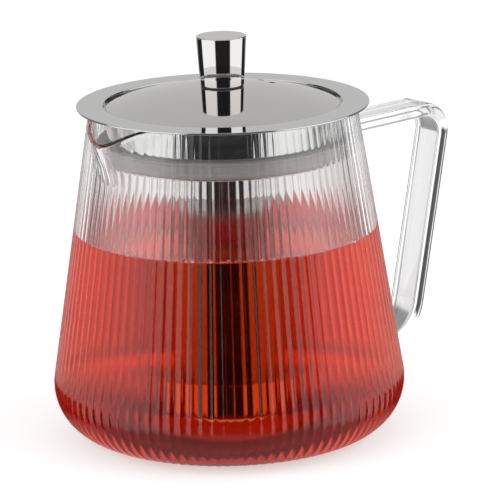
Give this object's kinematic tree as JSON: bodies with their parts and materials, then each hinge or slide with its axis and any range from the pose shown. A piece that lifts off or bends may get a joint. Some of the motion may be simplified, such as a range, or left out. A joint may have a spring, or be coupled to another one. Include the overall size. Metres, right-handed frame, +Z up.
{
  "type": "glass teapot",
  "caption": "Fluted conical glass teapot with a drawn spout and fused strap handle, a lift-out steel tube strainer hung in the neck, and a domed steel lid with a tapered knob.",
  "frame": {"origin": "centre of the foot, on the surface that the teapot stands on", "axes": "+Z up along the jug's axis, +X towards the handle, -X towards the spout"},
  "size_m": [0.1894, 0.1454, 0.1666],
  "materials": {
    "clear_glass": "clear, fire polished, fluted outside",
    "polished_steel": "polished",
    "knob_steel": "mirror polished, turned",
    "satin_steel": "satin",
    "mesh_steel": "fine etched mesh",
    "silicone": "translucent matt silicone",
    "washer_rubber": "matt black"
  },
  "bodies": {
    "jug": {"glass_jug": "clear_glass", "glass_handle": "clear_glass"},
    "strainer": {"strainer_rim": "polished_steel", "neck_seal": "silicone", "strainer_shoulder": "satin_steel", "strainer_tube": "mesh_steel", "strainer_cup": "satin_steel"},
    "lid": {"lid_dome": "polished_steel", "lid_skirt": "satin_steel", "lid_knob": "knob_steel", "knob_washer": "washer_rubber", "screw_washer": "satin_steel", "knob_screw": "satin_steel"}
  },
  "joints": [
    {"name": "strainer_lift", "type": "slide", "parent": "jug", "child": "strainer", "axis": [0, 0, 1], "range_m": [0, 0.14]},
    {"name": "lid_lift", "type": "slide", "parent": "strainer", "child": "lid", "axis": [0, 0, 1], "range_m": [0, 0.05]}
  ]
}
